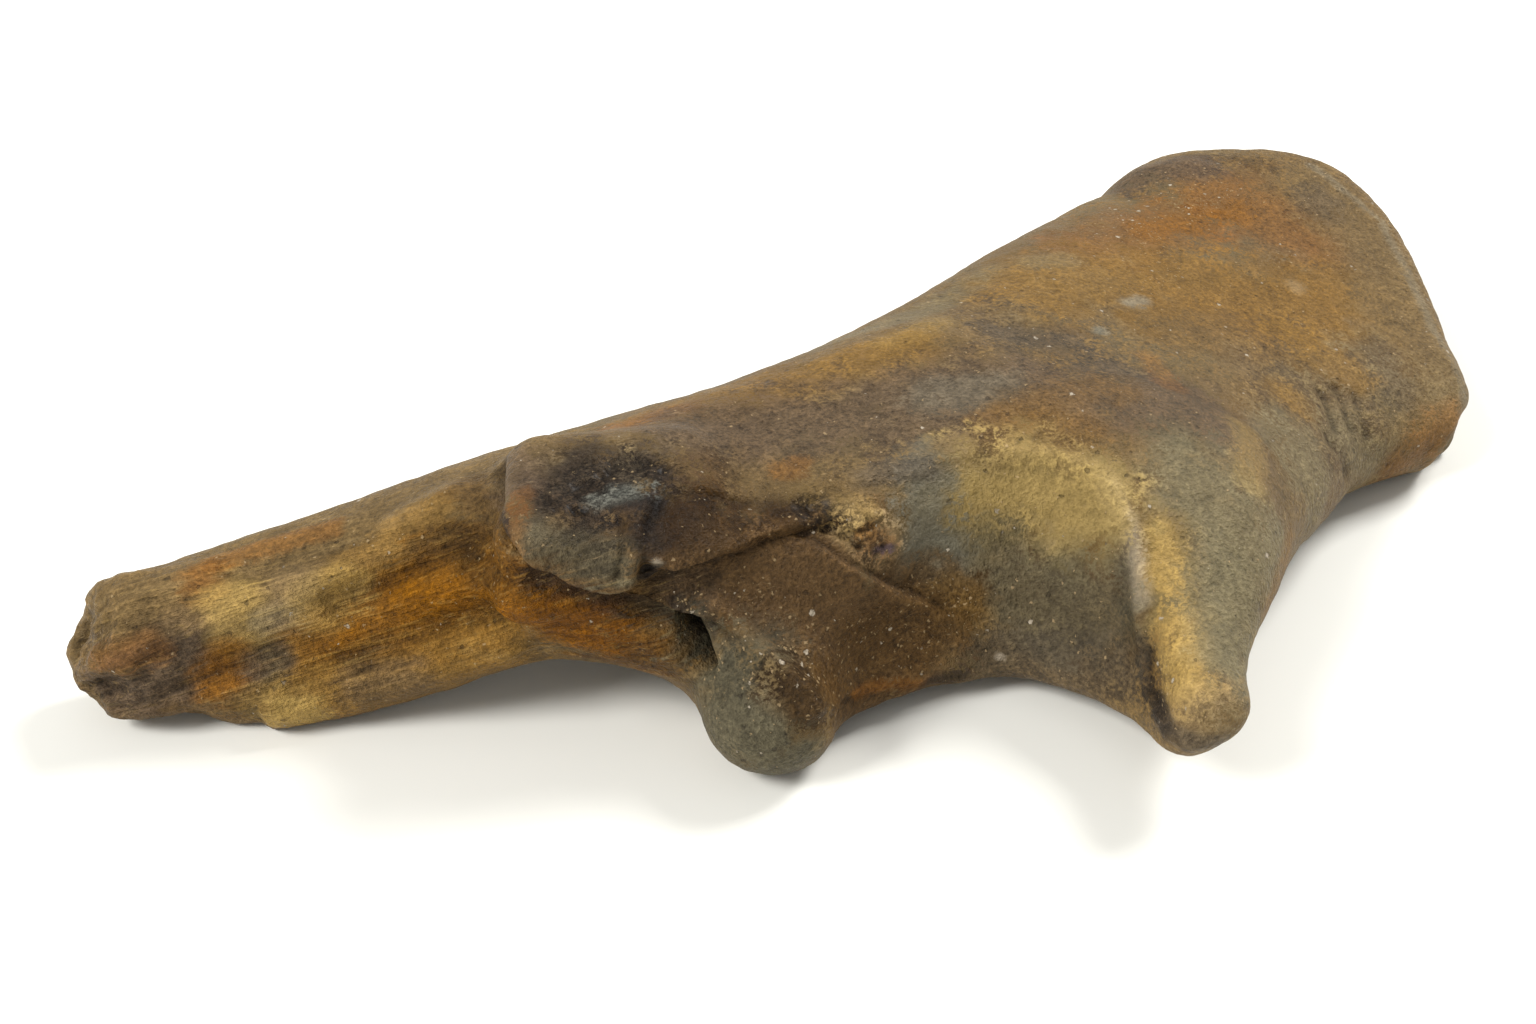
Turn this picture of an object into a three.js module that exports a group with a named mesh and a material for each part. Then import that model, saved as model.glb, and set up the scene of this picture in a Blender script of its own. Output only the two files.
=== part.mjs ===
// A weathered right ulna of a bison: the olecranon, the elbow joint and the upper shaft, broken off below.
// It lies on its medial side as it would rest on a table. Millimetres, +Z up, +X towards the olecranon,
// +Y towards the caudal border. The form is one smooth field, negative inside the bone, that is built from
// the bone's own anatomy and then covered with triangles.
import * as THREE from "three";

// Driving dimensions
const CELL = 3.4;
const at = (x, y, z) => new THREE.Vector3(x, y, z);
const ANCONEAL_ROOT = { at: at(25, 39.5, 18.5), radius: 17.5 };
const ANCONEAL_TIP = { at: at(9.1, 7, 17.8), radius: 6.3 };
const ANCONEAL_FACET = at(10, 25, 27);
const ANCONEAL_FACET_NORMAL = at(0.05, -0.28, 0.96);
const FLANGE_ROOT = { at: at(9, 42, 14), radius: 12 };
const FLANGE_TIP = { at: at(6.5, 10, 13.5), radius: 6 };
const NOTCH_LOW = at(-21, 17, 4);
const NOTCH_HIGH = at(-8.5, 27, 38);
const NOTCH_RADIUS = 23.2;
const JOINT_CENTRE = at(-10.5, 60, 18.5);
const JOINT_HALF = at(32.5, 18, 16);
const JOINT_ROUNDING = 6;
const JOINT_SLOPE = 0.3;
const RADIAL_FACET = at(-20, 41, 7);
const RADIAL_FACET_NORMAL = at(-0.25, -0.93, 0.26);
const KNOB_ROOT = { at: at(-31, 58, 15.5), radius: 13 };
const KNOB_TIP = { at: at(-37.6, 46.3, 10.3), radius: 10.3 };
const LATERAL_CENTRE = at(-48.5, 72, 31.5);
const LATERAL_HALF = at(16, 13.5, 9.5);
const LATERAL_ROUNDING = 6;
const LATERAL_TURN = THREE.MathUtils.degToRad(-33);
const RIDGE = [
  { at: at(-45, 64, 20), radius: 8 },
  { at: at(-59, 79.5, 18.5), radius: 7.5 },
  { at: at(-71, 86, 12.5), radius: 7 },
  { at: at(-97, 99, 5), radius: 5 },
];
const CRANIAL_LIP = { at: at(84, 54, 9), radius: 9 };
const CRANIAL_LIP_END = { at: at(105, 48.5, 6.5), radius: 6.5 };
const CAUDAL_LIP = { at: at(110, 109, 13), radius: 13 };
const CAUDAL_LIP_END = { at: at(131, 104, 12), radius: 12 };
const END_POINT = at(132, 73.5, 0);
const END_NORMAL = at(0.845, -0.534, 0);
const CROWN_POINT = at(120, 127.5, 0);
const CROWN_NORMAL = at(0.6, 0.8, 0);
const OLECRANON_HOLLOW = { at: at(82, 84, -13), radii: at(52, 32, 20) };
const JOINT_HOLLOW = { at: at(-8, 77, -14), radii: at(46, 38, 21) };
const BREAK_POINT = at(-120.5, 110, 10);
const BREAK_UPPER = at(-0.824, 0, 0.567);
const BREAK_LOWER = at(-0.857, 0, -0.514);
const BREAK_NOTCH = { at: at(-121, 101.8, 9.5), radii: at(7.5, 4, 4.5) };
const BREAK_RECESS = { at: at(-121.5, 115, 17.5), radii: at(7, 9, 6) };
const CORNER_CHIP = { at: at(108, 36.5, 5), radii: at(8, 6, 8.5) };
const CORNER_NICK = { at: at(95, 33.5, 5), radii: at(4.5, 5, 8) };

// Stations along the bone: the caudal and cranial borders, the lower and upper faces midway between them,
// and how many degrees those two faces climb towards the caudal border.
const STATIONS = [
  { x: -124, caudal: 120.5, cranial: 104, low: 0.5, high: 20, under: 0, over: 0 },
  { x: -97, caudal: 114.5, cranial: 94, low: 1.5, high: 24.5, under: 0, over: 0 },
  { x: -79, caudal: 110, cranial: 84, low: 4, high: 28.5, under: 0, over: -4 },
  { x: -60, caudal: 105.5, cranial: 72, low: 7, high: 34, under: 0, over: -8 },
  { x: -40, caudal: 102, cranial: 61, low: 5.5, high: 36, under: 2, over: -4 },
  { x: -16, caudal: 99.5, cranial: 50, low: 5.5, high: 36, under: 4, over: 0 },
  { x: 5, caudal: 99.5, cranial: 42, low: 6, high: 37, under: 5, over: 0 },
  { x: 30, caudal: 103.5, cranial: 24, low: 7, high: 36.5, under: 5, over: 2 },
  { x: 50, caudal: 110, cranial: 27, low: 5, high: 34, under: 4, over: 5 },
  { x: 86, caudal: 122, cranial: 40, low: 2.5, high: 28, under: 2, over: 8 },
  { x: 106, caudal: 128.5, cranial: 42, low: 1.5, high: 26, under: 1, over: 8 },
  { x: 130, caudal: 137, cranial: 44, low: 1.5, high: 25, under: 0, over: 8 },
  { x: 160, caudal: 141, cranial: 46, low: 1.5, high: 24, under: 0, over: 8 },
];

// Field tools: a distance is negative inside
function smoothMin(a, b, reach) {
  const h = Math.max(reach - Math.abs(a - b), 0) / reach;
  return Math.min(a, b) - h * h * reach * 0.25;
}

const smoothMax = (a, b, reach) => -smoothMin(-a, -b, reach);

function roundCone(p, from, to) {
  const span = to.at.clone().sub(from.at);
  const t = THREE.MathUtils.clamp(p.clone().sub(from.at).dot(span) / span.lengthSq(), 0, 1);
  return p.distanceTo(span.multiplyScalar(t).add(from.at)) - THREE.MathUtils.lerp(from.radius, to.radius, t);
}

function chain(p, links) {
  return Math.min(...links.slice(1).map((link, i) => roundCone(p, links[i], link)));
}

function ellipsoid(p, centre, radii) {
  const q = p.clone().sub(centre).divide(radii);
  const k0 = q.length();
  const k1 = q.divide(radii).length();
  return (k0 * (k0 - 1)) / Math.max(k1, 1e-6);
}

function roundedBox(p, centre, half, rounding) {
  const q = p.clone().sub(centre);
  const out = new THREE.Vector3(
    Math.abs(q.x) - half.x + rounding,
    Math.abs(q.y) - half.y + rounding,
    Math.abs(q.z) - half.z + rounding,
  );
  const inside = Math.min(Math.max(out.x, out.y, out.z), 0);
  return out.max(new THREE.Vector3()).length() + inside - rounding;
}

function cylinderAlong(p, from, to, radius) {
  const span = to.clone().sub(from).normalize();
  const q = p.clone().sub(from);
  return q.addScaledVector(span, -q.dot(span)).length() - radius;
}

const beyond = (p, point, normal) => p.clone().sub(point).dot(normal);

// A smooth curve through a value that the stations give
function profile(key) {
  const last = STATIONS.length - 1;
  const slope = STATIONS.map((_, i) => {
    const a = STATIONS[Math.max(i - 1, 0)];
    const b = STATIONS[Math.min(i + 1, last)];
    return (b[key] - a[key]) / (b.x - a.x);
  });
  return (x) => {
    const u = THREE.MathUtils.clamp(x, STATIONS[0].x, STATIONS[last].x);
    let i = 0;
    while (i < last - 1 && u > STATIONS[i + 1].x) i++;
    const a = STATIONS[i];
    const b = STATIONS[i + 1];
    const w = b.x - a.x;
    const t = (u - a.x) / w;
    const s = 1 - t;
    return s * s * ((1 + 2 * t) * a[key] + t * w * slope[i]) + t * t * ((3 - 2 * t) * b[key] - s * w * slope[i + 1]);
  };
}

const caudal = profile("caudal");
const cranial = profile("cranial");
const low = profile("low");
const high = profile("high");
const under = profile("under");
const over = profile("over");
const rise = (degrees) => Math.tan(THREE.MathUtils.degToRad(degrees));

function blade(p) {
  const depth = (caudal(p.x) - cranial(p.x)) / 2;
  const y = p.y - cranial(p.x) - depth;
  const inside = THREE.MathUtils.clamp(y, -depth, depth);
  const floor = low(p.x) + inside * rise(under(p.x));
  const roof = high(p.x) + inside * rise(over(p.x));
  const thick = (roof - floor) / 2;
  const z = p.z - floor - thick;
  const r = Math.pow(Math.pow(Math.abs(y) / depth, 2.6) + Math.pow(Math.abs(z) / thick, 2.6), 1 / 2.6);
  return (r - 1) * Math.min(depth, thick);
}

function joint(p) {
  const q = p.clone();
  q.y -= JOINT_SLOPE * (p.z - JOINT_CENTRE.z);
  const block = roundedBox(q, JOINT_CENTRE, JOINT_HALF, JOINT_ROUNDING);
  return smoothMax(block, beyond(p, RADIAL_FACET, RADIAL_FACET_NORMAL), 4);
}

function beak(p) {
  const cone = roundCone(p, ANCONEAL_ROOT, ANCONEAL_TIP);
  return smoothMax(cone, beyond(p, ANCONEAL_FACET, ANCONEAL_FACET_NORMAL), 5);
}

function lateralProcess(p) {
  const q = p.clone().sub(LATERAL_CENTRE).applyAxisAngle(at(0, 0, 1), -LATERAL_TURN);
  return roundedBox(q, at(0, 0, 0), LATERAL_HALF, LATERAL_ROUNDING);
}

function bone(p) {
  let d = blade(p);
  d = smoothMin(d, roundCone(p, CRANIAL_LIP, CRANIAL_LIP_END), 12);
  d = smoothMin(d, roundCone(p, CAUDAL_LIP, CAUDAL_LIP_END), 12);
  d = smoothMax(d, -ellipsoid(p, OLECRANON_HOLLOW.at, OLECRANON_HOLLOW.radii), 12);
  d = smoothMax(d, smoothMax(beyond(p, END_POINT, END_NORMAL), beyond(p, CROWN_POINT, CROWN_NORMAL), 30), 5);
  for (const chip of [CORNER_CHIP, CORNER_NICK]) d = smoothMax(d, -ellipsoid(p, chip.at, chip.radii), 1.5);
  d = smoothMin(d, joint(p), 14);
  d = smoothMin(d, beak(p), 14);
  d = smoothMin(d, roundCone(p, FLANGE_ROOT, FLANGE_TIP), 6);
  d = smoothMin(d, lateralProcess(p), 5);
  d = smoothMax(d, -ellipsoid(p, JOINT_HOLLOW.at, JOINT_HOLLOW.radii), 10);
  d = smoothMax(d, -cylinderAlong(p, NOTCH_LOW, NOTCH_HIGH, NOTCH_RADIUS), 4);
  d = smoothMin(d, roundCone(p, KNOB_ROOT, KNOB_TIP), 5);
  d = smoothMin(d, chain(p, RIDGE), 8);
  d = smoothMax(d, smoothMax(beyond(p, BREAK_POINT, BREAK_UPPER), beyond(p, BREAK_POINT, BREAK_LOWER), 2), 2);
  for (const gap of [BREAK_NOTCH, BREAK_RECESS]) d = smoothMax(d, -ellipsoid(p, gap.at, gap.radii), 1.5);
  return Math.max(d, -p.z);
}

// Triangles over the zero surface of a field, by surface nets: one vertex in each cell that the surface crosses
function surfaceNet(field, from, to, cell) {
  const n = to.clone().sub(from).divideScalar(cell).ceil();
  const [nx, ny, nz] = [n.x + 1, n.y + 1, n.z + 1];
  const id = (i, j, k) => (k * ny + j) * nx + i;
  const value = new Float64Array(nx * ny * nz);
  const p = new THREE.Vector3();
  for (let k = 0; k < nz; k++)
    for (let j = 0; j < ny; j++)
      for (let i = 0; i < nx; i++) value[id(i, j, k)] = field(p.set(i, j, k).multiplyScalar(cell).add(from));
  const vertex = new Map();
  const points = [];
  const corners = [0, 1, 2, 3, 4, 5, 6, 7].map((c) => [c & 1, (c >> 1) & 1, c >> 2]);
  const edges = [];
  for (let a = 0; a < 8; a++) for (const bit of [1, 2, 4]) if (!(a & bit)) edges.push([a, a | bit]);
  for (let k = 0; k < nz - 1; k++)
    for (let j = 0; j < ny - 1; j++)
      for (let i = 0; i < nx - 1; i++) {
        const here = corners.map(([x, y, z]) => value[id(i + x, j + y, k + z)]);
        const sum = new THREE.Vector3();
        let count = 0;
        for (const [a, b] of edges) {
          if (here[a] < 0 === here[b] < 0) continue;
          const t = here[a] / (here[a] - here[b]);
          sum.add(at(...corners[a]).lerp(at(...corners[b]), t));
          count++;
        }
        if (!count) continue;
        vertex.set(id(i, j, k), points.length);
        points.push(sum.divideScalar(count).add(p.set(i, j, k)).multiplyScalar(cell).add(from));
      }
  const quads = [];
  const step = [
    [1, 0, 0],
    [0, 1, 0],
    [0, 0, 1],
  ];
  for (let k = 1; k < nz - 1; k++)
    for (let j = 1; j < ny - 1; j++)
      for (let i = 1; i < nx - 1; i++)
        for (let axis = 0; axis < 3; axis++) {
          const [dx, dy, dz] = step[axis];
          const inside = value[id(i, j, k)] < 0;
          if (inside === value[id(i + dx, j + dy, k + dz)] < 0) continue;
          const [ux, uy, uz] = step[(axis + 1) % 3];
          const [vx, vy, vz] = step[(axis + 2) % 3];
          const ring = [
            id(i, j, k),
            id(i - ux, j - uy, k - uz),
            id(i - ux - vx, j - uy - vy, k - uz - vz),
            id(i - vx, j - vy, k - vz),
          ].map((c) => vertex.get(c));
          quads.push(inside ? ring : ring.reverse());
        }
  return { points, quads };
}

function gradient(field, p) {
  const h = 0.05;
  const g = new THREE.Vector3();
  for (const axis of ["x", "y", "z"]) {
    const a = p.clone();
    const b = p.clone();
    a[axis] += h;
    b[axis] -= h;
    g[axis] = (field(a) - field(b)) / (2 * h);
  }
  return g;
}

// Evens out the cells along the surface and draws every vertex back onto it
function relax({ points, quads }, field, rounds) {
  const near = points.map(() => new Set());
  for (const q of quads)
    q.forEach((v, i) => {
      near[v].add(q[(i + 1) % 4]);
      near[v].add(q[(i + 3) % 4]);
    });
  for (let round = 0; round < rounds; round++) {
    const moved = points.map((p, i) => {
      const mean = new THREE.Vector3();
      for (const j of near[i]) mean.add(points[j]);
      return mean.divideScalar(near[i].size).lerp(p, 0.5);
    });
    moved.forEach((p, i) => {
      const g = gradient(field, p);
      points[i].copy(p).addScaledVector(g, -field(p) / Math.max(g.lengthSq(), 0.1));
    });
  }
}

function boneGeometry() {
  const net = surfaceNet(bone, at(-130, -10, -6), at(165, 140, 60), CELL);
  relax(net, bone, 6);
  for (const p of net.points) if (p.z < 0.3) p.z = 0;
  const index = [];
  for (const [a, b, c, d] of net.quads) {
    const short = net.points[a].distanceTo(net.points[c]) < net.points[b].distanceTo(net.points[d]);
    index.push(...(short ? [a, b, c, a, c, d] : [a, b, d, b, c, d]));
  }
  const geometry = new THREE.BufferGeometry().setFromPoints(net.points).setIndex(index);
  const middle = new THREE.Box3().setFromPoints(net.points).getCenter(new THREE.Vector3());
  geometry.translate(-middle.x, -middle.y, 0);
  geometry.computeVertexNormals();
  return geometry;
}

const ulna = new THREE.Mesh(
  boneGeometry(),
  new THREE.MeshStandardMaterial({ color: 0x6a4a26, roughness: 0.6, metalness: 0 }),
);
ulna.name = "ulna";

const group = new THREE.Group();
group.add(ulna);

export default group;
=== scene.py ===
import math

import bmesh
import bpy
import numpy as np
from mathutils import Euler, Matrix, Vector
from mathutils.bvhtree import BVHTree


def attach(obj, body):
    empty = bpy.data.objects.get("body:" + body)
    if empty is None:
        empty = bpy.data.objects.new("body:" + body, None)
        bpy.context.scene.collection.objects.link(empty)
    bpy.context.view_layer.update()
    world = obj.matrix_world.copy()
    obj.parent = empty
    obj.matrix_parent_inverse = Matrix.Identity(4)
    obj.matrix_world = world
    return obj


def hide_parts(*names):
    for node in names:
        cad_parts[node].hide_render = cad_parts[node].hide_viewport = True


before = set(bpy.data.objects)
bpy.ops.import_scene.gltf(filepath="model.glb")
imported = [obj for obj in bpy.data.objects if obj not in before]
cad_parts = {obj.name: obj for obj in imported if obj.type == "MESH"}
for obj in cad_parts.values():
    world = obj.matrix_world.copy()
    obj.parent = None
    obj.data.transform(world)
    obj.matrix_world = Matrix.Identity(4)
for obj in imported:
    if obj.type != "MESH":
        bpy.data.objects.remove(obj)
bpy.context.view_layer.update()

MM = 0.001

# The photograph's viewpoint above the cranial edge, its half width of view, and its size in pixels.
EYE = (-0.15872, -0.181716, 0.1873)
EYE_TURN = (math.radians(54.0), 0.0, math.radians(-34.0))
HALF_VIEW = math.radians(23.0)
PICTURE = (1536, 1024)

# Colours of the fossil's stains, as linear red, green and blue.
DUN = (0.141, 0.091, 0.0360)
HONEY = (0.194, 0.104, 0.0208)
CHESTNUT = (0.154, 0.077, 0.0142)
RUST = (0.184, 0.070, 0.0093)
ORANGE = (0.189, 0.072, 0.0016)
AMBER = (0.125, 0.043, 0.0006)
OCHRE = (0.350, 0.229, 0.0666)
TAN = (0.459, 0.323, 0.1650)
BONE = (0.411, 0.346, 0.2571)
OLIVE = (0.296, 0.208, 0.0720)
MOSS = (0.155, 0.128, 0.0696)
LICHEN = (0.080, 0.069, 0.0414)
SLATE = (0.128, 0.117, 0.0832)
FLECK = (0.218, 0.229, 0.1891)
PLUM = (0.085, 0.056, 0.0331)
WINE = (0.091, 0.051, 0.0200)
BARK = (0.070, 0.034, 0.0070)
UMBER = (0.021, 0.010, 0.0030)
SMOKE = (0.066, 0.051, 0.0352)
SOOT = (0.019, 0.014, 0.0107)
INDIGO = (0.034, 0.037, 0.0806)

# Strokes of the modelling tool: name, line in the photograph, half width in millimetres, and height
# in millimetres, which is below 0 where the stroke cuts in.
STROKES = (
    ("gap behind the process", ((498, 470), (499, 492), (503, 520), (514, 546)), 1.4, -1.6),
    ("undercut below the process", ((540, 576), (575, 592), (615, 606), (655, 624)), 2.4, -1.5),
    ("crack in the process's face", ((621, 520), (624, 550), (620, 568)), 0.8, -0.8),
    ("dish of the smooth face", ((675, 525), (720, 530), (770, 520)), 7, -1.4),
    ("crest of the joint's front", ((715, 605), (745, 634), (770, 653), (797, 680), (812, 705)), 1.6, 2),
    ("dish behind the crest", ((700, 600), (735, 605)), 5, -0.8),
    ("hollow of the joint's front", ((790, 600), (830, 620), (860, 655)), 9, -1.9),
    ("nutrient hole", ((687, 630), (692, 645), (698, 660)), 1.5, -5.5),
    ("slope into the nutrient hole", ((678, 642), (686, 652)), 2.2, -0.7),
    ("pit in the joint", ((646, 570), (655, 570)), 1.6, -1.8),
    ("crumb in the pit", ((657, 563),), 1, 0.9),
    ("worn rim of the notch",
     ((1000, 452), (1060, 458), (1108, 486), (1130, 525), (1140, 570), (1144, 640)), 1.6, 0.9),
    ("wrinkle by the hollow", ((1325, 395), (1338, 425)), 1.5, -0.9),
    ("second wrinkle", ((1340, 390), (1356, 425)), 1.5, -0.9),
    ("third wrinkle", ((1358, 395), (1372, 432)), 1.6, -0.8),
    ("fold of the hollow", ((1335, 440), (1350, 470)), 2.6, -1),
    ("corner hollow", ((1375, 455), (1385, 465)), 6, -1.2),
    ("bump on the crown's corner", ((1150, 172), (1180, 165)), 6, 0.9),
    ("dip before the crown", ((1110, 190), (1125, 195)), 6, -0.6),
    ("upper fold of the shaft", ((300, 585), (345, 560), (400, 525), (450, 500)), 3.5, 1.3),
    ("groove under the fold", ((340, 610), (390, 578), (440, 545), (490, 535)), 3.5, -1.6),
    ("orange swell of the shaft", ((350, 632), (400, 612), (460, 592), (530, 590)), 4.5, 0.9),
    ("long line on the upper face", ((150, 590), (262, 547), (360, 520)), 2.2, 0.6),
    ("foot of the long line", ((180, 596), (265, 562), (365, 535)), 2.6, -0.5),
    ("groove over the ridge", ((285, 680), (350, 657), (420, 632), (500, 620)), 2.8, -1.3),
    ("back of the ridge", ((285, 706), (350, 696), (430, 672), (500, 650)), 4.5, 1.7),
    ("belly of the ridge", ((325, 712), (390, 704), (450, 684)), 5, 1.5),
    ("bulge by the process", ((455, 500), (480, 530)), 4, 0.8),
    ("groove beside the process", ((470, 565), (520, 580), (570, 600)), 2.2, -1),
    ("bed of the crumbled break", ((835, 520), (860, 535), (885, 550)), 3.2, -0.9),
    ("gap over the break's lobe", ((74, 632), (80, 640)), 2.6, -1.6),
    ("gap between the break's lobes", ((88, 695), (100, 690)), 1.8, -1.5),
)

# Ledges: name, line in the photograph, fade and height in millimetres. The skin left of the line's
# run stands up.
LEDGES = (
    ("end of the process", ((502, 490), (504, 505), (508, 525), (520, 550)), 4, 1.1),
    ("lower edge of the process",
     ((520, 548), (540, 563), (575, 580), (617, 593), (655, 607), (690, 620)), 6, 2.3),
    ("ledge over the smooth face", ((646, 512), (652, 498), (668, 487), (700, 488), (732, 497)), 4, 0.8),
    ("crack beside the smooth face", ((638, 572), (641, 545), (640, 520), (646, 505)), 3.5, 0.9),
    ("brow over the joint's front", ((655, 577), (690, 566), (730, 553), (770, 536), (792, 528)), 6, 2.2),
    ("brow by the crumbled break", ((925, 603), (885, 586), (850, 569), (832, 556)), 5, 1.6),
    ("lip over the notch", ((835, 487), (880, 478), (930, 470), (965, 458)), 4, 0.5),
    ("lower rim of the joint", ((815, 715), (862, 697), (900, 688), (945, 683)), 3, 0.5),
    ("beak's crusted rim", ((1187, 741), (1162, 716), (1150, 690), (1146, 650), (1143, 610)), 2.5, 0.6),
    ("step at the ridge's end", ((268, 694), (256, 706), (262, 716)), 5, 1.2),
)

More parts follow.
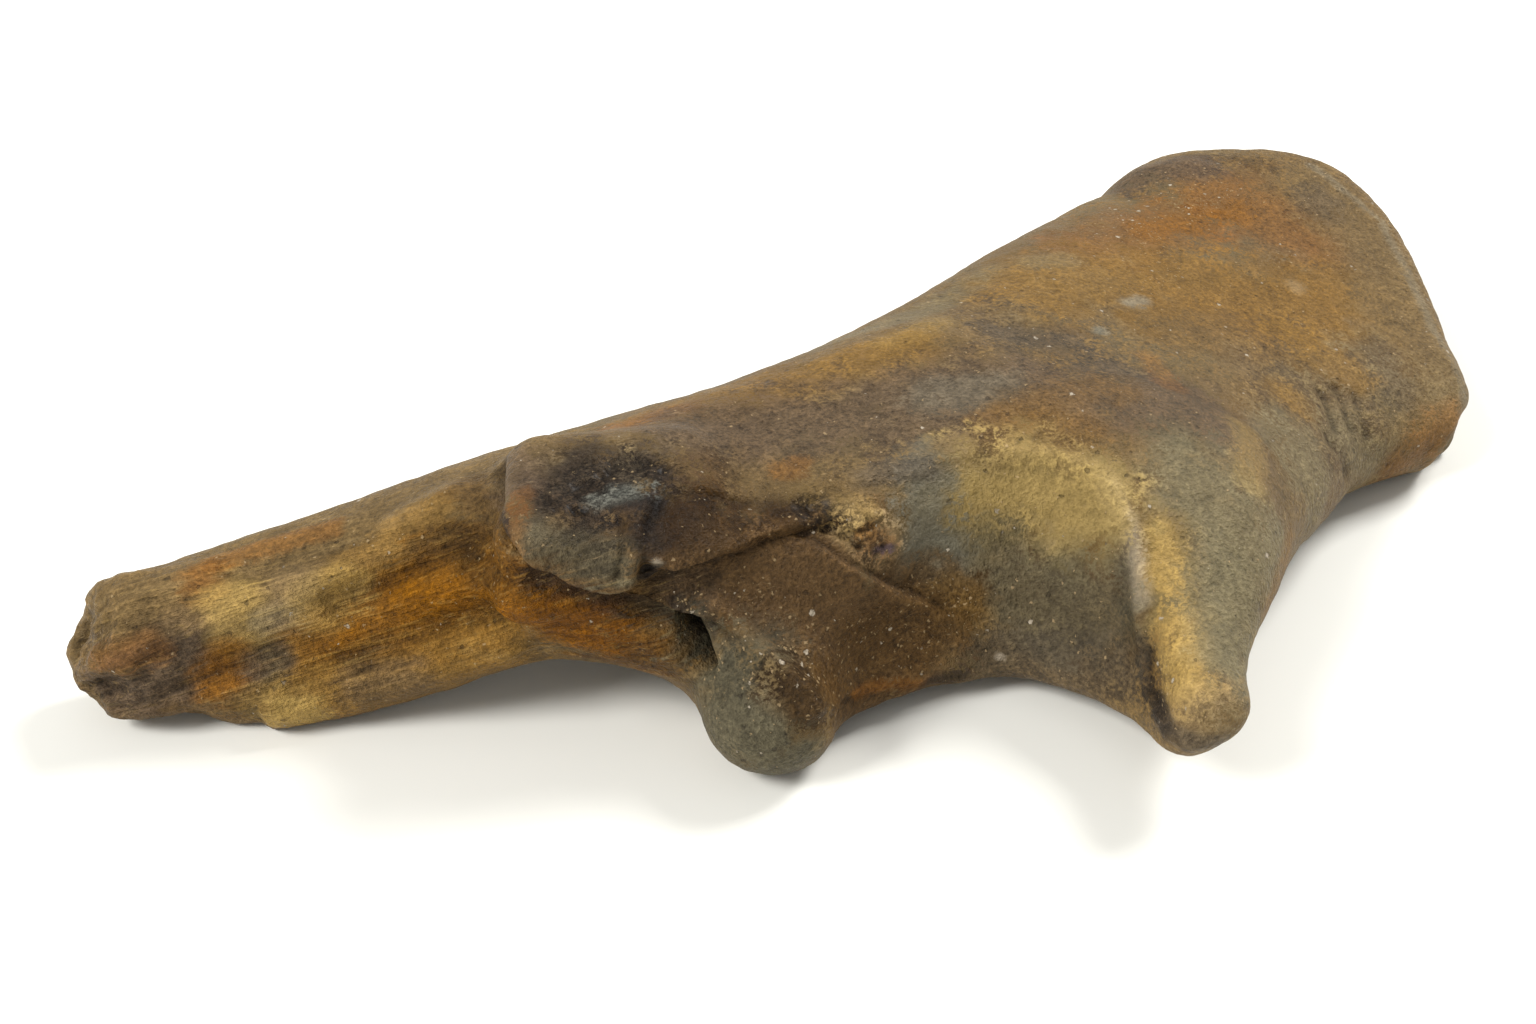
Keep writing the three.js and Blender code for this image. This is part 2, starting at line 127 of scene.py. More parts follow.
# Stains laid one over the other, a few of them painted shade or painted shadow in gaps, pits, hollows,
# holes and under overhangs: name, colour, line in the photograph, reach in millimetres, and strength.
STAINS_AND_PAINTED_SHADE = (
    ("dark ground of the joint", WINE, ((560, 570), (700, 560), (830, 590), (900, 640)), 15, 0.95),
    ("brown ground of the shaft", CHESTNUT, ((120, 670), (300, 640), (500, 590), (620, 630)), 14, 0.7),
    ("grey brown along the shaft's upper face", DUN,
     ((120, 610), (250, 570), (400, 512), (480, 475)), 13, 0.85),
    ("plum shade at the broken end", PLUM, ((120, 690), (165, 678), (205, 664)), 8, 0.95),
    ("rust in the broken end", RUST, ((105, 662), (150, 648)), 3, 0.45),
    ("rust line along the shaft", RUST, ((215, 562), (262, 547), (335, 528)), 2, 0.5),
    ("rust blush beside the line", RUST, ((205, 580),), 4, 0.6),
    ("ochre on the shaft's turn", OCHRE, ((232, 605), (245, 640), (300, 672)), 5, 0.6),
    ("orange by the dark spot", ORANGE, ((215, 685), (232, 662)), 4, 0.8),
    ("orange on the middle of the shaft", ORANGE, ((300, 655), (330, 640)), 5, 0.75),
    ("orange of the lower shaft", ORANGE, ((360, 625), (400, 618), (440, 600), (500, 590)), 7, 0.7),
    ("orange higher on the shaft", HONEY, ((350, 570), (390, 545), (440, 520)), 4, 0.6),
    ("orange run to the joint", ORANGE, ((440, 605), (520, 600), (570, 620), (620, 640)), 9, 0.95),
    ("bright orange under the process", AMBER, ((555, 618), (600, 628), (625, 640)), 6, 0.85),
    ("brown hollow in the shaft", BARK, ((425, 552), (450, 543)), 4, 0.55),
    ("brown streak in the orange", BARK, ((475, 578), (540, 580)), 2.4, 0.55),
    ("olive of the long ridge", HONEY, ((320, 690), (400, 680), (500, 645)), 7, 0.75),
    ("slate on the ridge", SMOKE, ((365, 682), (415, 676)), 4.5, 0.5),
    ("slate spot on the shaft", SMOKE, ((252, 668), (275, 660)), 3, 0.75),
    ("slate spot above it", SLATE, ((265, 625), (288, 618)), 2.5, 0.45),
    ("ochre of the middle", OCHRE, ((312, 612), (342, 592)), 4, 0.5),
    ("tan end of the ridge", OCHRE, ((262, 705), (305, 705)), 4, 0.8),
    ("brown edge of the ridge", BARK, ((240, 705), (255, 698)), 3, 0.6),
    ("pale rub on the shaft", TAN, ((292, 588), (285, 610)), 4, 0.12),
    ("brown corner by the process", BARK, ((475, 490), (488, 515)), 4.5, 0.6),
    ("brown by the process", BARK, ((470, 545), (490, 555), (500, 545)), 4.5, 0.6),
    ("olive left of the nutrient hole", BARK, ((645, 650), (675, 665)), 5, 0.7),
    ("dark lower edge of the shaft", BARK, ((590, 655), (640, 662)), 3, 0.7),
    ("olive orange on the caudal border", HONEY, ((640, 420), (780, 385), (900, 345)), 8, 0.75),
    ("grey green caudal edge", MOSS, ((600, 408), (760, 350), (900, 300), (990, 270)), 4, 0.5),
    ("orange blush on the border", RUST, ((610, 428), (680, 410)), 4, 0.6),
    ("honey patch on the border", OCHRE, ((890, 340), (940, 322)), 4, 0.2),
    ("plum band across the blade", PLUM,
     ((700, 430), (850, 415), (960, 390), (1080, 390), (1190, 410)), 13, 0.8),
    ("slate in the plum band", SLATE, ((930, 395), (1000, 385)), 5, 0.4),
    ("dark cloud over the band", SMOKE, ((1010, 335), (1060, 340)), 6, 0.7),
    ("dark cloud by the rust", SMOKE, ((1090, 365), (1135, 375)), 5, 0.6),
    ("rust in the plum band", CHESTNUT, ((1030, 405), (1110, 385)), 6, 0.4),
    ("rust near the notch", CHESTNUT, ((1000, 425), (1080, 430)), 5, 0.4),
    ("rust strip over the band", RUST, ((1150, 360), (1170, 385)), 3, 0.3),
    ("rust of the olecranon", RUST, ((1100, 245), (1180, 225)), 12, 0.5),
    ("orange of the olecranon", ORANGE, ((1145, 232), (1200, 215)), 5, 0.5),
    ("deep rust near the crown", RUST, ((1230, 195), (1300, 240)), 12, 0.5),
    ("orange near the crown", ORANGE, ((1235, 215),), 5, 0.45),
    ("honey on the olecranon", HONEY, ((1050, 285), (1150, 275), (1250, 290), (1340, 300)), 15, 0.7),
    ("brown on the olecranon's middle", CHESTNUT, ((1180, 320), (1260, 320), (1300, 290)), 12, 0.4),
    ("ochre arc on the olecranon", HONEY, ((1290, 330), (1320, 360), (1350, 370)), 6, 0.6),
    ("grey brown toward the end", DUN, ((1330, 190), (1390, 260), (1410, 320)), 12, 0.8),
    ("smoke near the end", SMOKE, ((1320, 205),), 6, 0.4),
    ("smoke along the end", SMOKE, ((1375, 350), (1400, 390)), 5, 0.35),
    ("green rim of the end", FLECK, ((1310, 165), (1380, 220), (1425, 310), (1463, 400)), 1.2, 0.2),
    ("rust at the broken corner", RUST, ((1400, 465), (1450, 430)), 6, 0.4),
    ("grey green fleck high", MOSS, ((1035, 262), (1065, 258)), 4, 0.4),
    ("blue grey fleck", FLECK, ((1128, 303), (1140, 300)), 2, 0.4),
    ("blue grey fleck beside it", FLECK, ((1100, 330),), 1.8, 0.4),
    ("plum crown corner", PLUM, ((1140, 178), (1195, 165)), 8, 0.85),
    ("dark rust along the crown", BARK, ((1190, 158), (1260, 165)), 4, 0.5),
    ("pale rub on the olecranon", TAN, ((1295, 285),), 2.5, 0.3),
    ("grey green of the neck", MOSS, ((1190, 470), (1250, 560), (1235, 640)), 10, 0.8),
    ("grey green under the olecranon", MOSS, ((1290, 440), (1310, 480)), 8, 0.6),
    ("ochre strip on the neck", OCHRE, ((1243, 430), (1250, 480)), 3.5, 0.3),
    ("ochre blush on the neck", HONEY, ((1290, 395),), 5, 0.6),
    ("brown edge of the neck", CHESTNUT, ((1290, 545), (1265, 610)), 3, 0.6),
    ("plum shade in the hollow", PLUM, ((1335, 470), (1365, 470)), 6, 0.2),
    ("moss in the hollow", MOSS, ((1350, 435), (1378, 455)), 6, 0.4),
    ("ochre band on the beak", OCHRE, ((1165, 545), (1185, 620), (1190, 680)), 5.5, 0.75),
    ("tan tip of the beak", TAN, ((1200, 700), (1205, 725)), 6, 0.12),
    ("grey green beside the band", MOSS, ((1215, 560), (1225, 660)), 6, 0.7),
    ("crust round the beak's tip", SMOKE, ((1160, 715), (1190, 742), (1220, 742)), 2.5, 0.8),
    ("crust up the beak's front", SOOT, ((1143, 640), (1150, 690), (1165, 725)), 2.2, 0.75),
    ("pale worn rim of the notch", BONE, ((1108, 488), (1127, 520), (1138, 560), (1142, 600)), 2, 0.45),
    ("slate behind the worn rim", SLATE, ((1125, 540), (1132, 600)), 3, 0.5),
    ("olive bed of the notch", OLIVE, ((970, 500), (1030, 490), (1090, 510)), 9, 0.9),
    ("ochre in the notch", OCHRE, ((1000, 500), (1060, 500)), 6, 0.15),
    ("moss of the notch's middle", LICHEN, ((965, 565), (1030, 600), (1110, 605)), 9, 0.7),
    ("slate foot of the notch", SMOKE, ((990, 665), (1060, 670), (1120, 670)), 6, 0.55),
    ("slate flank of the notch", SLATE, ((930, 480), (925, 530), (935, 560)), 6, 0.85),
    ("dark lip over the notch", SMOKE, ((860, 478), (930, 468)), 2.5, 0.7),
    ("gritty brown by the notch", BARK, ((925, 585), (960, 600)), 5, 0.75),
    ("gritty ochre by the notch", HONEY, ((950, 595), (975, 620)), 3.5, 0.3),
    ("pale crumb in the notch", BONE, ((1000, 657),), 0.7, 0.6),
    ("crumbly tan break", TAN, ((845, 520), (868, 536), (888, 546)), 3.6, 0.9),
    ("golden crumbs over the break", OCHRE, ((800, 498), (830, 508), (860, 524)), 3.8, 0.6),
    ("rust in the crumbly break", RUST, ((875, 540), (890, 548)), 2.6, 0.7),
    ("blue spot in the break", INDIGO, ((884, 552), (895, 549)), 1, 0.7),
    ("brown over the break", BARK, ((800, 500), (830, 490)), 3, 0.3),
    ("brown of the joint's smooth face", UMBER, ((665, 515), (720, 528), (785, 520)), 9, 0.97),
    ("soot at the smooth face's end", SOOT, ((650, 500), (648, 545)), 3, 0.6),
    ("rust breath on the smooth face", BARK, ((735, 530), (760, 540)), 5, 0.4),
    ("rust brown over the smooth face", BARK, ((670, 468), (720, 474)), 4.5, 0.55),
    ("grey brown over the smooth face", DUN, ((755, 480), (800, 478), (840, 482)), 4.5, 0.6),
    ("rust spot over the smooth face", RUST, ((785, 468), (800, 466)), 2.5, 0.4),
    ("plum of the joint's front", WINE, ((720, 600), (790, 600), (850, 620), (880, 660)), 11, 0.95),
    ("brown of the joint's front", BARK, ((870, 640), (920, 640)), 8, 0.5),
    ("shade under the brow", SOOT, ((665, 590), (700, 588)), 4, 0.45),
    # Painted shadow: a black band along the undercut below the process.
    ("painted shadow in the undercut of the process", SOOT, ((540, 578), (600, 600), (650, 617), (700, 625)), 3.6, 0.75),
    ("moss face of the process", LICHEN, ((532, 536), (570, 548), (610, 560)), 4.4, 0.8),
    ("soot of the process's top", SOOT, ((550, 490), (590, 468), (635, 470), (600, 500)), 8, 0.82),
    ("blue grey sheen of the process", FLECK, ((598, 500), (618, 494), (640, 488)), 2.6, 0.35),
    ("plum end of the process", PLUM, ((510, 465), (520, 480)), 5, 0.7),
    ("rust in the process's end", RUST, ((522, 495), (518, 540)), 2, 0.35),
    # Painted shade: black in the gap behind the process.
    ("painted shade in the gap behind the process", SOOT, ((500, 505), (506, 525), (514, 546)), 1.1, 0.9),
    # Painted shade: black in the pit.
    ("painted shade in the pit", SOOT, ((648, 571),), 1.5, 0.9),
    ("crumbs in the pit", BONE, ((657, 563),), 1, 0.6),
    # Painted shade: black inside the nutrient hole.
    ("painted shade in the nutrient hole", SOOT, ((688, 632), (692, 645), (697, 658)), 1.9, 1),
    ("grey green knob", LICHEN, ((735, 680), (720, 715), (755, 740), (785, 765)), 10, 0.95),
    ("brown speckled cheek of the knob", BARK, ((800, 690), (830, 700), (840, 720)), 6, 0.75),
    ("brown top of the knob", UMBER, ((780, 680), (800, 700)), 4, 0.6),
    ("rust line of the lower rim", RUST, ((862, 694), (895, 687), (925, 684)), 1.1, 0.55),
    ("soot on the lower rim", SOOT, ((930, 683), (960, 676)), 1.8, 0.8),
)

# Areas with a texture of their own: line in millimetres and reach.
POROUS = (
    (((-66, 3, 40), (-61, 5, 41), (-56, 2, 41)), 7.5),
    (((-37, -12, 36), (-33, -15, 34), (-29, -18, 30)), 3.5),
)
DUSTED = (
    (((-56, -14, 25), (-46, -20, 20), (-36, -24, 15), (-20, -24, 16)), 9),
    (((-46, -26, 17), (-44, -29, 10)), 5),
    (((-38, -12, 36), (-28, -18, 30)), 5),
    (((-8, -36, 30), (-8, -48, 22), (-8, -60, 16)), 5),
    (((-22, -19, 20), (-16, -22, 16)), 5),
    (((96, 40, 32), (70, 40, 30), (60, 20, 30)), 10),
)
FIBROUS = (
    (((-128, 40, 14), (-104, 30, 16), (-82, 14, 24), (-64, -4, 24)), 17),
)
POLISHED = (
    (((-12, -19, 29), (-4, -25, 25), (-5, -33, 18)), 13),
    (((-57, -7, 39), (-51, -10, 37), (-43, -11, 36)), 8),
    (((-50, -16, 26), (-42, -18, 25), (-35, -22, 17)), 9),
)
# Areas that get a finer skin, for their small sharp forms.
FINE = (
    (((-70, 1, 36), (-50, -15, 27), (-26, -20, 25)), 19),
    (((-127, 41, 13),), 11),
)
# Directions of the shaft's fibres and of the scratches, then the x up to which the end is broken, and
# the length over which that fades, both in millimetres.
FIBRE_RUN = np.array((0.845, -0.442, 0.301))
SCRATCH_RUN = (0.86, -0.43, 0.27)
BREAK_X = -119.0
BREAK_FADE = 9

# Fibres are drawn out along their run by shrinking lengths along it to this share.
FINE_FIBRE = 0.12
COARSE_FIBRE = 0.22

# The range in which a stroke strays from its line and the run of a ledge's slope, in millimetres, and
# the share of a ledge's height that lies below the skin.
STROKE_STRAY = 1.2
LEDGE_RUN = 0.8
LEDGE_SUNK = 0.35

# Painted shade that darkens the hollows, and ridges made lighter partly as wear and partly as painted
# light, as shares of the colour laid at each point.
HOLLOW_PAINTED_SHADE = 0.40
RIDGE_WEAR_AND_PAINTED_LIGHT = 0.18

# Stains: the most that one strays in millimetres, and its stray, outer edge and fade as shares of its
# reach. The last is the strength of the clouds in the ground.
STAIN_STRAY = 7.0
STRAY_SHARE = 0.8
EDGE_SHARE = 1.25
FADE_SHARE = 0.85
GROUND_STRENGTH = 0.45

# Skin: the gap in metres that is closed between its triangles, how much each division smooths it, and
# the share of a fine area from which it is divided once more.
SEAM_GAP = 2e-6
SMOOTHING = 0.4
FINE_FROM = 0.3

# Where the random draws start, and the cells along each side of the noise before it repeats.
STROKE_SEED = 11
STAIN_SEED = 70
UNDER_SEED = 170
NOISE_CELLS = 32


def eased(share):
    """The same share from 0 to 1, with soft ends."""
    return share * share * (3 - 2 * share)


def cloud(place, lump, seed):
    """Soft noise from 0 to 1 whose lumps are about that many millimetres across."""
    grid = np.random.RandomState(seed).rand(NOISE_CELLS, NOISE_CELLS, NOISE_CELLS)
    spot = place / lump
    cell = np.floor(spot).astype(int)
    part = eased(spot - cell)
    total = np.zeros(len(place))
    for dx in (0, 1):
        for dy in (0, 1):
            for dz in (0, 1):
                weight = (
                    (part[:, 0] if dx else 1 - part[:, 0])
                    * (part[:, 1] if dy else 1 - part[:, 1])
                    * (part[:, 2] if dz else 1 - part[:, 2])
                )
                corner = (cell + (dx, dy, dz)) % NOISE_CELLS
                total += weight * grid[corner[:, 0], corner[:, 1], corner[:, 2]]
    return total


def rough_cloud(place, lump, seed, layers=3):
    """Several clouds, each half the size and half the strength of the one before."""
    total = sum(cloud(place, lump / 2**n, seed + n) / 2**n for n in range(layers))
    return total / sum(1 / 2**n for n in range(layers))


def bumps(place, height, lump, seed, layers=3):
    """Rough noise that rises and falls about 0 by half the height each way."""
    return height * (rough_cloud(place, lump, seed, layers) - 0.5)


def distance_to(place, line):
    """Distance in millimetres from each point to a line through the given points."""
    line = np.array(line, float)
    if len(line) == 1:
        return np.linalg.norm(place - line[0], axis=1)
    nearest = np.full(len(place), np.inf)
    for start, end in zip(line, line[1:]):
        run = end - start
        along = np.clip((place - start) @ run / max(run @ run, 1e-9), 0, 1)
        gap = np.linalg.norm(place - start - along[:, None] * run, axis=1)
        nearest = np.minimum(nearest, gap)
    return nearest


def side_of(place, outward, line):
    """Distance from each point to the line, and how far it lies left of the line's run."""
    line = np.array(line, float)
    nearest = np.full(len(place), np.inf)
    side = np.zeros(len(place))
    for start, end in zip(line, line[1:]):
        run = end - start
        along = np.clip((place - start) @ run / (run @ run), 0, 1)
        away = place - start - along[:, None] * run
        gap = np.linalg.norm(away, axis=1)
        left = np.cross(outward, run / np.linalg.norm(run))
        closer = gap < nearest
        nearest = np.where(closer, gap, nearest)
        side = np.where(closer, np.sum(away * left, axis=1), side)
    return nearest, side


def soft_edge(distance, reach, softness=0.6):
    """1 well inside the reach, 0 outside it, with a soft edge between."""
    return eased(np.clip((reach - distance) / (softness * reach), 0, 1))


def area(place, lines):
    """How far each point belongs to any of several lines with their reach."""
    return np.max([soft_edge(distance_to(place, line), reach) for line, reach in lines], axis=0)


def bone_block():
    """The solid's own skin, joined up and divided, finer where the small forms are."""
    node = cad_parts["ulna"]
    block = bmesh.new()
    block.from_mesh(node.data)
    block.transform(node.matrix_world)
    bmesh.ops.remove_doubles(block, verts=block.verts, dist=SEAM_GAP)
    for _ in range(2):
        bmesh.ops.subdivide_edges(block, edges=block.edges, cuts=1, use_grid_fill=True, smooth=1.0)
        bmesh.ops.smooth_vert(
            block, verts=block.verts, factor=SMOOTHING,
            use_axis_x=True, use_axis_y=True, use_axis_z=True,
        )
    place = np.array([v.co for v in block.verts]) / MM
    fine = area(place, FINE) > FINE_FROM
    edges = [e for e in block.edges if fine[e.verts[0].index] and fine[e.verts[1].index]]
    bmesh.ops.subdivide_edges(block, edges=edges, cuts=1, use_grid_fill=True)
    bmesh.ops.triangulate(block, faces=block.faces)
    return block


def sight_of(block):
    """A function that finds, in millimetres, where a line drawn in the photograph lies on the bone."""
    skin = BVHTree.FromBMesh(block)
    eye = Vector(EYE)
    turn = Euler(EYE_TURN).to_matrix()
    step = math.tan(HALF_VIEW) / (PICTURE[0] / 2)

    def place_of(spot):
        across, down = spot[0] - PICTURE[0] / 2, spot[1] - PICTURE[1] / 2
        look = (turn @ Vector((across * step, -down * step, -1.0))).normalized()
        hit = skin.ray_cast(eye, look)[0]
        # A spot just off the bone's edge takes the skin nearest to its line of sight.
        if hit is None:
            hit = Vector((0.0, 0.0, 0.0))
            for _ in range(4):
                hit = skin.find_nearest(eye + look * (hit - eye).dot(look))[0]
        return hit / MM

    return lambda line: np.array([place_of(spot) for spot in line])


def read_block(block):
    """The block's points in millimetres, and the direction out of the skin at each."""
    block.normal_update()
    place = np.array([v.co for v in block.verts]) / MM
    outward = np.array([v.normal for v in block.verts])
    return place, outward


def write_block(block, place):
    """Moves the block's points, none of them below the surface that the bone lies on."""
    place[:, 2] = np.maximum(place[:, 2], 0)
    for vert, spot in zip(block.verts, place * MM):
        vert.co = spot


def model_strokes(block, seen):
    """Lays the named strokes on the block, each along the skin's own direction."""
    place, outward = read_block(block)
    wander = np.stack([cloud(place, 5, STROKE_SEED + n) - 0.5 for n in range(3)], axis=1)
    wandered = place + STROKE_STRAY * wander
    lift = np.zeros(len(place))
    for _, line, width, height in STROKES:
        lift += height * np.exp(-((distance_to(wandered, seen(line)) / width) ** 2))
    for _, line, fade, height in LEDGES:
        gap, side = side_of(wandered, outward, seen(line))
        rise = np.clip(side / LEDGE_RUN + 0.5, 0, 1)
        lift += height * (rise - LEDGE_SUNK) * np.exp(-((gap / fade) ** 2))
    write_block(block, place + outward * lift[:, None])


def along_fibres(place, shrink):
    """The same points with their lengths along the fibres drawn together."""
    run = place @ FIBRE_RUN
    return place + ((shrink - 1) * run)[:, None] * FIBRE_RUN


def model_weathering(block):
    """Lumps, pores and fibres of the weathered skin, and the ragged broken end."""
    place, outward = read_block(block)
    lift = bumps(place, height=0.6, lump=9, seed=20) + bumps(place, height=0.35, lump=3.0, seed=30)
    pits = np.clip((rough_cloud(place, 2.6, 40, layers=2) - 0.52) / 0.10, 0, 1)
    lift += area(place, POROUS) * (bumps(place, height=-0.8, lump=5, seed=44) - 0.9 * pits)
    fibrous = area(place, FIBROUS)
    lift += fibrous * bumps(along_fibres(place, FINE_FIBRE), height=1.5, lump=2.4, seed=50)
    lift += fibrous * bumps(along_fibres(place, COARSE_FIBRE), height=2.0, lump=5.5, seed=55, layers=1)
    broken = soft_edge(place[:, 0] - BREAK_X, BREAK_FADE, softness=1.0)
    lift += broken * bumps(place, height=2.4, lump=5, seed=60)
    write_block(block, place + outward * lift[:, None])


def hollows(block, rounds=7, depth=0.30):
    """How far each point lies in a hollow, 0 to 1, or on a ridge, 0 to -1."""
    place, outward = read_block(block)
    pairs = np.array([[v.index for v in e.verts] for e in block.edges])
    ends, others = np.concatenate([pairs, pairs[:, ::-1]]).T
    count = np.bincount(ends, minlength=len(place))
    level = place
    for _ in range(rounds):
        level = np.stack([np.bincount(ends, level[others, n]) / count for n in range(3)], axis=1)
    return np.clip(np.sum((level - place) * outward, axis=1) / depth, -1, 1)


def stain_and_shade_colours(place, seen, seed):
    """Colour of each point, from a cloudy ground and the stains laid over it, a few of which are painted
    shade.
    """
    fibrous = area(place, FIBROUS)[:, None]
    spot = place + fibrous * (along_fibres(place, COARSE_FIBRE) - place)
    wander = np.stack([rough_cloud(spot, 7, seed + 5 * n) - 0.5 for n in range(3)], axis=1)
    ragged = bumps(spot, 1.6, 3.2, seed + 20) + bumps(spot, 1.2, 9, seed + 25)
    colours = np.array(DUN) * np.ones((len(place), 1))
    for colour, lump, step in ((CHESTNUT, 22, 30), (MOSS, 26, 34), (PLUM, 18, 38)):
        share = np.clip((rough_cloud(place, lump, seed + step) - 0.5) / 0.2, 0, 1)[:, None]
        share = share * GROUND_STRENGTH
        colours = colours * (1 - share) + np.array(colour) * share
    for _, colour, line, reach, strength in STAINS_AND_PAINTED_SHADE:
        wandered = place + min(STAIN_STRAY, STRAY_SHARE * reach) * wander
        inward = (EDGE_SHARE * reach - distance_to(wandered, seen(line))) / (FADE_SHARE * reach)
        share = (eased(np.clip(inward + ragged * (inward > 0), 0, 1)) * strength)[:, None]
        colours = colours * (1 - share) + np.array(colour) * share
    return colours


def add_attribute(mesh, name, channels):
    """A colour or up to four shares at each point of the piece, for its finish to read."""
    layer = mesh.color_attributes.new(name, "FLOAT_COLOR", "POINT")
    values = np.ones((len(mesh.vertices), 4), np.float32)
    for n, channel in enumerate(channels):
        values[:, n] = channel
    layer.data.foreach_set("color", values.ravel())


class Value:
    """One output socket of a material. Operators between values add Math nodes."""

    def __init__(self, finish, socket):
        self.finish = finish
        self.socket = socket

    def maths(self, operation, first, second):
        return self.finish.node("ShaderNodeMath", {"operation": operation}, {0: first, 1: second})

    def __add__(self, other):
        return self.maths("ADD", self, other)

    def __radd__(self, other):
        return self.maths("ADD", other, self)

    def __sub__(self, other):
        return self.maths("SUBTRACT", self, other)

    def __rsub__(self, other):
        return self.maths("SUBTRACT", other, self)

    def __mul__(self, other):
        return self.maths("MULTIPLY", self, other)

    def __rmul__(self, other):
        return self.maths("MULTIPLY", other, self)


class Finish:
    """A material being built: node() adds a node of a type with its settings and sockets."""

    def __init__(self, name):
        self.material = bpy.data.materials.new(name)
        self.material.use_nodes = True
        self.tree = self.material.node_tree
        self.tree.nodes.clear()

    def node(self, kind, settings, sockets, output=0):
        """Adds a node, sets it up, links or fills its sockets, and gives one of its outputs."""
        made = self.tree.nodes.new(kind)
        for key, value in settings.items():
            setattr(made, key, value)
        for key, value in sockets.items():
            if isinstance(value, Value):
                self.tree.links.new(value.socket, made.inputs[key])
            else:
                made.inputs[key].default_value = value
        return Value(self, made.outputs[output]) if made.outputs else None

    def between(self, value, low, high):
        """0 below low, 1 above high, smooth between."""
        return self.node(
            "ShaderNodeMapRange",
            {"interpolation_type": "SMOOTHSTEP"},
            {"Value": value, "From Min": low, "From Max": high, "To Min": 0.0, "To Max": 1.0},
        )

    def blend(self, share, first, second):
        """A mix of two colours; share is how much of the second."""
        return self.node(
            "ShaderNodeMix", {"data_type": "RGBA"}, {0: share, 6: first, 7: second}, output=2
        )

    def noise(self, spot, scale, detail, roughness):
        return self.node(
            "ShaderNodeTexNoise", {},
            {"Vector": spot, "Scale": scale, "Detail": detail, "Roughness": roughness},
        )

    def cells(self, spot, scale, output):
        return self.node("ShaderNodeTexVoronoi", {}, {"Vector": spot, "Scale": scale}, output)

    def dots(self, spot, scale, radius, share):
        """Small dots of mixed size, one to a cell of that scale, in a share of the cells."""
        draw = self.cells(spot, scale, "Color")
        pick = self.node("ShaderNodeSeparateColor", {}, {"Color": draw}, "Red")
        size = self.node("ShaderNodeSeparateColor", {}, {"Color": draw}, "Green")
        size = radius * (0.35 + 0.65 * size * size)
        dot = 1 - self.between(self.cells(spot, scale, "Distance"), 0.6 * size, size)
        return dot * self.between(pick, 0.99 - share, 1.01 - share)

    def stretched(self, spot, run, length, width):
        """Coordinates stretched along a direction, for fibres and scratches."""
        turn = (0.0, -math.asin(run[2]), math.atan2(run[1], run[0]))
        return self.node(
            "ShaderNodeMapping",
            {"vector_type": "TEXTURE"},
            {"Vector": spot, "Rotation": turn, "Scale": (length, width, width)},
        )

    def surface(self, sockets):
        shader = self.node("ShaderNodeBsdfPrincipled", {}, sockets)
        self.node("ShaderNodeOutputMaterial", {}, {"Surface": shader})
        return self.material


def rgba(colour):
    return (*colour, 1.0)


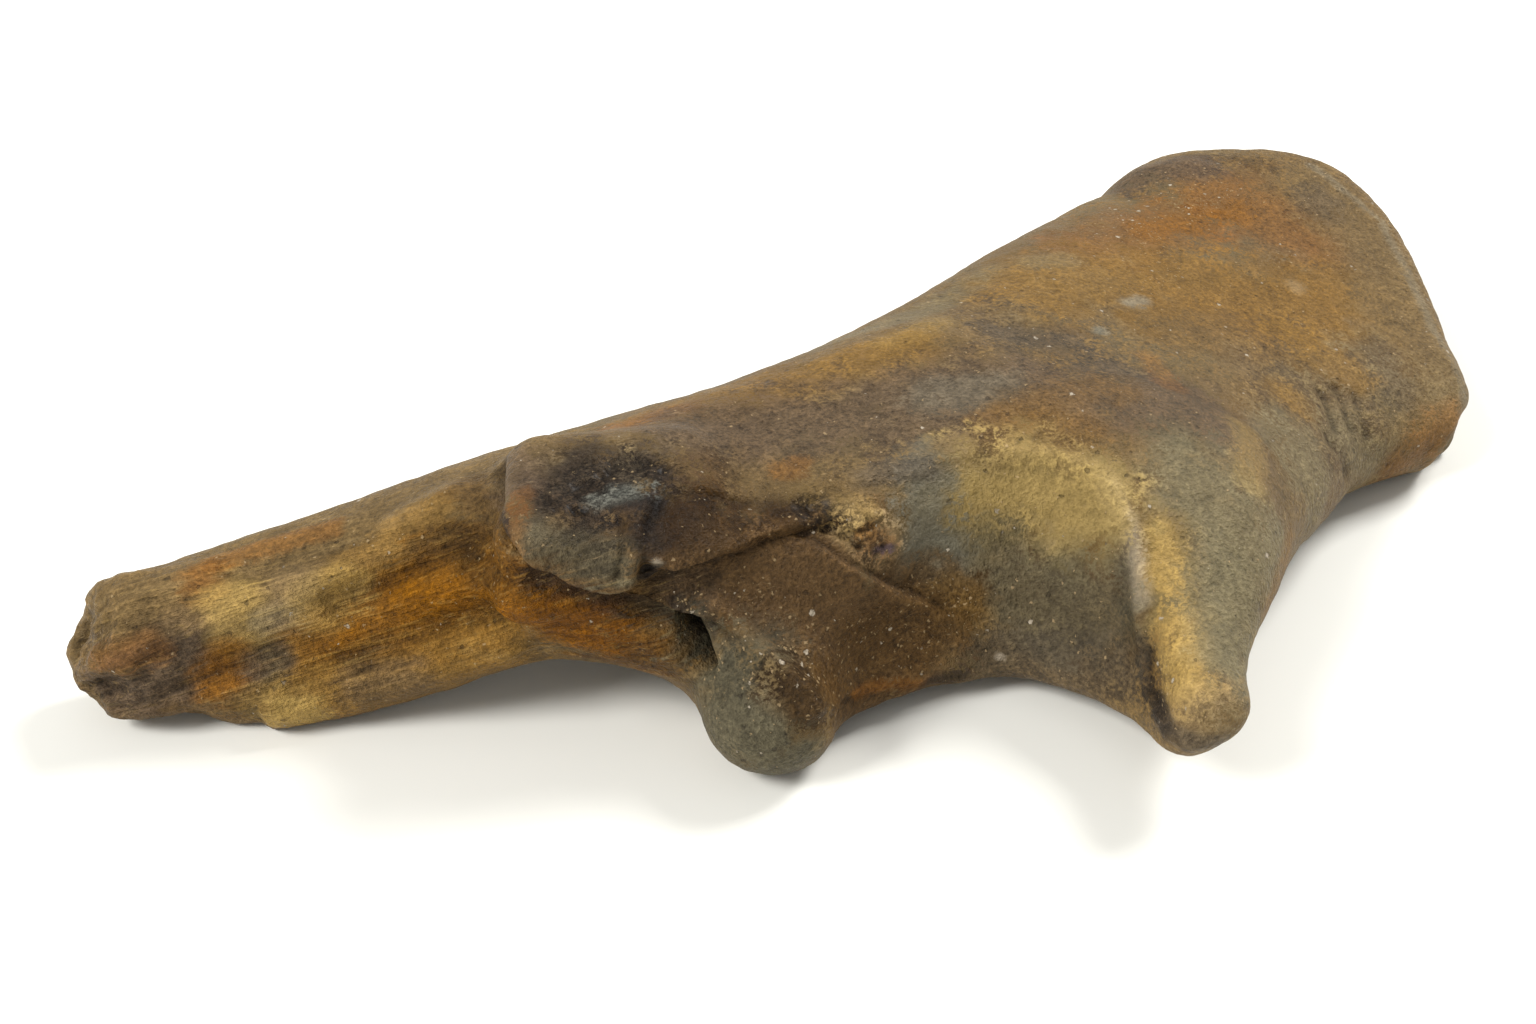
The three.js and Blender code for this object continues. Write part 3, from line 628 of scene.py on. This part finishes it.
def fossil_finish():
    """Satin bone with stains: grain, fibres, pores, pale specks and scratches over the stains; the pale
    specks and pale fibres are partly painted glints.
    """
    bone = Finish("fossil bone")
    spot = bone.node("ShaderNodeTexCoord", {}, {}, "Object")
    stain_and_shade = bone.node("ShaderNodeAttribute", {"attribute_name": "stain_and_shade"}, {}, "Color")
    under = bone.node("ShaderNodeAttribute", {"attribute_name": "under"}, {}, "Color")
    wear = bone.node("ShaderNodeAttribute", {"attribute_name": "wear"}, {}, "Color")
    dusted = bone.node("ShaderNodeAttribute", {"attribute_name": "wear"}, {}, "Alpha")
    porous = bone.node("ShaderNodeSeparateColor", {}, {"Color": wear}, "Red")
    fibrous = bone.node("ShaderNodeSeparateColor", {}, {"Color": wear}, "Green")
    polished = bone.node("ShaderNodeSeparateColor", {}, {"Color": wear}, "Blue")
    crumple = bone.node(
        "ShaderNodeTexNoise", {}, {"Vector": spot, "Scale": 2000.0, "Detail": 2.0}, "Color"
    )
    crumpled = bone.node(
        "ShaderNodeVectorMath", {"operation": "MULTIPLY_ADD"},
        {0: crumple, 1: (0.8 * MM, 0.8 * MM, 0.8 * MM), 2: spot},
    )

    mottle = bone.noise(spot, 150, 5.0, 0.65)
    leather = bone.noise(spot, 700, 4.0, 0.7)
    grit = bone.noise(spot, 1600, 2.0, 0.7)
    gate = bone.noise(spot, 70, 4.0, 0.65)
    fibre = bone.noise(bone.stretched(spot, FIBRE_RUN, 0.0090, 0.0007), 1.0, 3.0, 0.7)
    strand = bone.noise(bone.stretched(spot, FIBRE_RUN, 0.0240, 0.0024), 1.0, 3.0, 0.65)
    scratch = bone.noise(bone.stretched(spot, SCRATCH_RUN, 0.0050, 0.0004), 1.0, 2.0, 0.6)

    # Stains, painted shade among them, that break up into grains where they meet, over a grainy ground.
    grain = 0.45 * leather + 0.35 * grit + 0.20 * mottle
    grain = grain + fibrous * (0.6 * fibre + 0.4 * strand - grain)
    colour = bone.blend(bone.between(grain, 0.46, 0.55), stain_and_shade, under)
    shade = (1.0 * mottle + 0.5) * (1.6 * leather + 0.2) * (1.7 * grit + 0.15)
    shade = shade * (1 + fibrous * (1.6 * fibre + 1.2 * strand - 1.4))
    shade = shade * (0.7 + 0.6 * scratch)
    dark = 1 - bone.between(bone.node("ShaderNodeRGBToBW", {}, {"Color": stain_and_shade}), 0.03, 0.16)
    shade = 1 + (shade - 1) * (0.70 + 0.5 * dark + 0.3 * porous - 0.25 * polished)
    shade = bone.node("ShaderNodeMath", {"operation": "MAXIMUM"}, {0: shade, 1: 0.15})
    colour = bone.node(
        "ShaderNodeVectorMath", {"operation": "SCALE"}, {"Vector": colour, "Scale": shade}
    )

    # Pores of the rough places, pinholes of the rest, and a pale film where crumbs lie.
    pore = bone.between(bone.noise(crumpled, 1500, 3.0, 0.7), 0.50, 0.60)
    pinhole = bone.dots(crumpled, 620, 0.34, 0.15)
    film = bone.between(grain, 0.50, 0.62) * dusted
    colour = bone.blend(0.20 * film, colour, rgba(DUN))
    colour = bone.blend(0.50 * porous * pore + 0.45 * pinhole, colour, rgba(SOOT))

    # Pale specks, thickest where the skin is dusted with crumbs, partly crumbs of the skin and partly
    # painted glints; pale fibres, partly painted glints too; and short scratches.
    dust_and_glint = bone.dots(crumpled, 1400, 0.46, 0.08 + 0.46 * dusted)
    crumb = bone.dots(crumpled, 620, 0.32, 0.03 + 0.26 * dusted)
    fleck = bone.dots(crumpled, 300, 0.10, 0.35)
    pale_fibre_and_glint = fibrous * bone.between(fibre, 0.55, 0.70)
    scrape = bone.between(scratch, 0.64, 0.74) * bone.between(gate, 0.48, 0.60)
    colour = bone.blend(0.22 * pale_fibre_and_glint, colour, rgba(OCHRE))
    colour = bone.blend(0.50 * dust_and_glint, colour, rgba(TAN))
    colour = bone.blend(0.90 * crumb, colour, rgba(BONE))
    colour = bone.blend(0.60 * fleck, colour, rgba(BONE))
    colour = bone.blend(0.30 * scrape, colour, rgba(TAN))

    height = (
        0.50 * leather + 0.55 * grit
        + fibrous * (0.9 * fibre + 0.8 * strand)
        - 0.50 * porous * pore - 0.25 * pinhole
        + 0.12 * dust_and_glint + 0.18 * crumb - 0.08 * scrape
    )
    bump = bone.node(
        "ShaderNodeBump", {}, {"Strength": 1.0, "Distance": 1.0 * MM, "Height": height}, "Normal"
    )
    roughness = 0.36 + 0.30 * leather + 0.10 * porous - 0.06 * polished
    return bone.surface({
        "Base Color": colour, "Roughness": roughness, "Normal": bump, "Specular IOR Level": 0.10,
        "Coat Weight": 0.10 * porous, "Coat Roughness": 0.35,
    })


def floor_finish():
    """Plain white board."""
    board = Finish("white board")
    return board.surface({"Base Color": (0.80, 0.79, 0.73, 1.0), "Roughness": 0.7})


def add_piece(name, block):
    """Turns a block into a smooth piece of the scene, at the origin."""
    mesh = bpy.data.meshes.new(name)
    block.to_mesh(mesh)
    block.free()
    mesh.polygons.foreach_set("use_smooth", np.ones(len(mesh.polygons), bool))
    piece = bpy.data.objects.new(name, mesh)
    bpy.context.scene.collection.objects.link(piece)
    return piece


def build_bone():
    """The bone as one piece: the solid's skin, modelled, given its stains with painted shade in the
    hollows, and finished.
    """
    block = bone_block()
    seen = sight_of(block)
    place, _ = read_block(block)
    model_strokes(block, seen)
    model_weathering(block)
    # Painted shade: the colours are darkened in the hollows and lightened on the ridges, the ridges
    # partly as wear and partly as painted light; both colour attributes below carry it.
    hollow = hollows(block)
    painted_shade_and_ridge_wear = 1 - np.where(hollow > 0, HOLLOW_PAINTED_SHADE * hollow, RIDGE_WEAR_AND_PAINTED_LIGHT * hollow)
    piece = add_piece("fossil_ulna", block)
    add_attribute(piece.data, "stain_and_shade", stain_and_shade_colours(place, seen, STAIN_SEED).T * painted_shade_and_ridge_wear)
    add_attribute(piece.data, "under", stain_and_shade_colours(place, seen, UNDER_SEED).T * painted_shade_and_ridge_wear)
    wear = [area(place, lines) for lines in (POROUS, FIBROUS, POLISHED, DUSTED)]
    add_attribute(piece.data, "wear", wear)
    piece.data.materials.append(fossil_finish())
    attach(piece, "root")
    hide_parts("ulna")


def build_floor():
    """A wide plain board, level with the bottom of the bone."""
    board = bmesh.new()
    bmesh.ops.create_grid(board, x_segments=1, y_segments=1, size=4.0)
    floor = add_piece("floor", board)
    floor.data.materials.append(floor_finish())


def add_lamp(name, place, size, power):
    """A soft square lamp that faces the middle of the floor."""
    lamp = bpy.data.lights.new(name, "AREA")
    lamp.shape = "SQUARE"
    lamp.size = size
    lamp.energy = power
    holder = bpy.data.objects.new(name, lamp)
    holder.location = place
    turn = math.atan2(place[0], -place[1])
    tilt = math.atan2(math.hypot(place[0], place[1]), place[2])
    holder.rotation_euler = (tilt, 0.0, turn)
    bpy.context.scene.collection.objects.link(holder)


def build_light():
    """A white room and two soft lamps, one to each side."""
    world = bpy.data.worlds.new("studio")
    world.use_nodes = True
    sky = world.node_tree.nodes["Background"]
    sky.inputs["Color"].default_value = (1.0, 1.0, 1.0, 1.0)
    sky.inputs["Strength"].default_value = 0.5
    bpy.context.scene.world = world
    add_lamp("right lamp", (1.35, 0.0, 1.45), size=0.7, power=42.0)
    add_lamp("left lamp", (-1.4, 0.15, 1.3), size=0.7, power=36.0)


def build_camera():
    """The photograph's viewpoint: above the cranial edge, a little to the distal side."""
    camera = bpy.data.cameras.new("camera")
    camera.sensor_fit = "HORIZONTAL"
    camera.sensor_width = 36.0
    camera.lens = 18.0 / math.tan(HALF_VIEW)
    camera.clip_start = 0.01
    holder = bpy.data.objects.new("camera", camera)
    holder.location = EYE
    holder.rotation_euler = EYE_TURN
    bpy.context.scene.collection.objects.link(holder)
    bpy.context.scene.camera = holder


build_bone()
build_floor()
build_light()
build_camera()
bpy.context.scene.view_settings.view_transform = "Standard"
